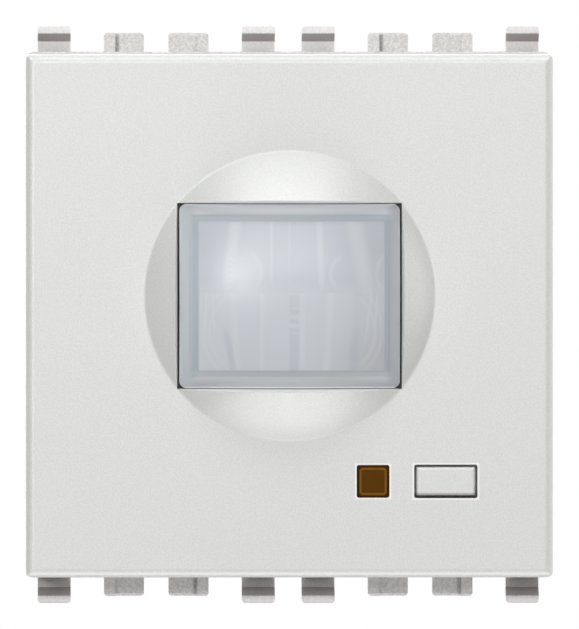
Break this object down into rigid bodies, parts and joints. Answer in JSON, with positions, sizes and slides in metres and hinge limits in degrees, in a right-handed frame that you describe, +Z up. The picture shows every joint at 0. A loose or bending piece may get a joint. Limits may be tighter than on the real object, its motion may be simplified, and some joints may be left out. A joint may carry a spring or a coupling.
{
  "type": "motion sensor light switch",
  "caption": "Flush wall switch that lights a room on movement: silver cover with a domed lens window, amber indicator and push key, on a snap-in frame with rear screw terminals.",
  "frame": {"origin": "middle of the seat, the plane in which the frame's flange and teeth rest on the support", "axes": "+X to the right and +Z up as seen from the front; the front looks towards -Y, the wall is towards +Y"},
  "size_m": [0.0448, 0.0428, 0.0492],
  "materials": {
    "silver_paint": "satin",
    "milky_lens": "satin",
    "amber_window": "gloss",
    "frame_plastic": "satin",
    "housing_plastic": "satin",
    "black_plastic": "matt",
    "dark_plastic": "satin",
    "terminal_plastic": "satin",
    "ivory_plastic": "satin",
    "circuit_board": "satin",
    "gold_plate": "satin",
    "brass_bar": "satin",
    "nickel_can": "satin",
    "zinc_steel": "satin",
    "tinned_metal": "satin",
    "dark_filter": "gloss",
    "lamp_body": "gloss",
    "relay_plastic": "satin",
    "film_box": "satin",
    "can_sleeve": "gloss",
    "varistor_coat": "satin",
    "resistor_coat": "matt"
  },
  "bodies": {
    "base": {"front_cover": "silver_paint", "fresnel_lens": "milky_lens", "lens_retainer": "black_plastic", "indicator_window": "amber_window", "mounting_frame": "frame_plastic", "rear_housing": "housing_plastic", "sensor_board": "circuit_board", "pir_holder": "ivory_plastic", "pir_base": "gold_plate", "pir_can": "nickel_can", "pir_window": "dark_filter", "pir_leads": "gold_plate", "status_led": "lamp_body", "light_sensor": "black_plastic", "tact_switch": "black_plastic", "controller_chip": "black_plastic", "controller_leads": "tinned_metal", "board_header": "black_plastic", "header_contacts": "gold_plate", "power_board": "circuit_board", "relay": "relay_plastic", "film_capacitor": "film_box", "electrolytic_capacitor": "can_sleeve", "varistor": "varistor_coat", "fuse_resistor": "resistor_coat", "component_leads": "tinned_metal", "terminal_bars": "brass_bar", "terminal_body_1": "terminal_plastic", "terminal_body_2": "terminal_plastic", "terminal_body_3": "terminal_plastic", "terminal_body_4": "terminal_plastic"},
    "key": {"push_key": "silver_paint"},
    "plunger": {"tact_plunger": "dark_plastic"},
    "screw_1": {"terminal_screw_1": "zinc_steel"},
    "cage_1": {"terminal_cage_1": "zinc_steel"},
    "screw_2": {"terminal_screw_2": "zinc_steel"},
    "cage_2": {"terminal_cage_2": "zinc_steel"},
    "screw_3": {"terminal_screw_3": "zinc_steel"},
    "cage_3": {"terminal_cage_3": "zinc_steel"},
    "screw_4": {"terminal_screw_4": "zinc_steel"},
    "cage_4": {"terminal_cage_4": "zinc_steel"}
  },
  "joints": [
    {"name": "key_press", "type": "slide", "parent": "base", "child": "key", "axis": [0, 1, 0], "range_m": [0, 0.0006], "stiffness_N_per_m": 2500},
    {"name": "plunger_press", "type": "slide", "parent": "base", "child": "plunger", "axis": [0, 1, 0], "range_m": [0, 0.0006]},
    {"name": "screw_turn_1", "type": "hinge", "parent": "base", "child": "screw_1", "pos_m": [-0.0129, 0.0265, -0.01515], "axis": [0, -1, 0], "range_deg": [0, 1728]},
    {"name": "cage_lift_1", "type": "slide", "parent": "base", "child": "cage_1", "axis": [0, 1, 0], "range_m": [0, 0.0024]},
    {"name": "screw_turn_2", "type": "hinge", "parent": "base", "child": "screw_2", "pos_m": [-0.0043, 0.0265, -0.01515], "axis": [0, -1, 0], "range_deg": [0, 1728]},
    {"name": "cage_lift_2", "type": "slide", "parent": "base", "child": "cage_2", "axis": [0, 1, 0], "range_m": [0, 0.0024]},
    {"name": "screw_turn_3", "type": "hinge", "parent": "base", "child": "screw_3", "pos_m": [0.0043, 0.0265, -0.01515], "axis": [0, -1, 0], "range_deg": [0, 1728]},
    {"name": "cage_lift_3", "type": "slide", "parent": "base", "child": "cage_3", "axis": [0, 1, 0], "range_m": [0, 0.0024]},
    {"name": "screw_turn_4", "type": "hinge", "parent": "base", "child": "screw_4", "pos_m": [0.0129, 0.0265, -0.01515], "axis": [0, -1, 0], "range_deg": [0, 1728]},
    {"name": "cage_lift_4", "type": "slide", "parent": "base", "child": "cage_4", "axis": [0, 1, 0], "range_m": [0, 0.0024]}
  ],
  "couplings": [
    {"joint": "plunger_press", "follows": "key_press", "ratio": 1},
    {"joint": "screw_turn_1", "follows": "cage_lift_1", "rad_per_m": 12566},
    {"joint": "screw_turn_2", "follows": "cage_lift_2", "rad_per_m": 12566},
    {"joint": "screw_turn_3", "follows": "cage_lift_3", "rad_per_m": 12566},
    {"joint": "screw_turn_4", "follows": "cage_lift_4", "rad_per_m": 12566}
  ]
}
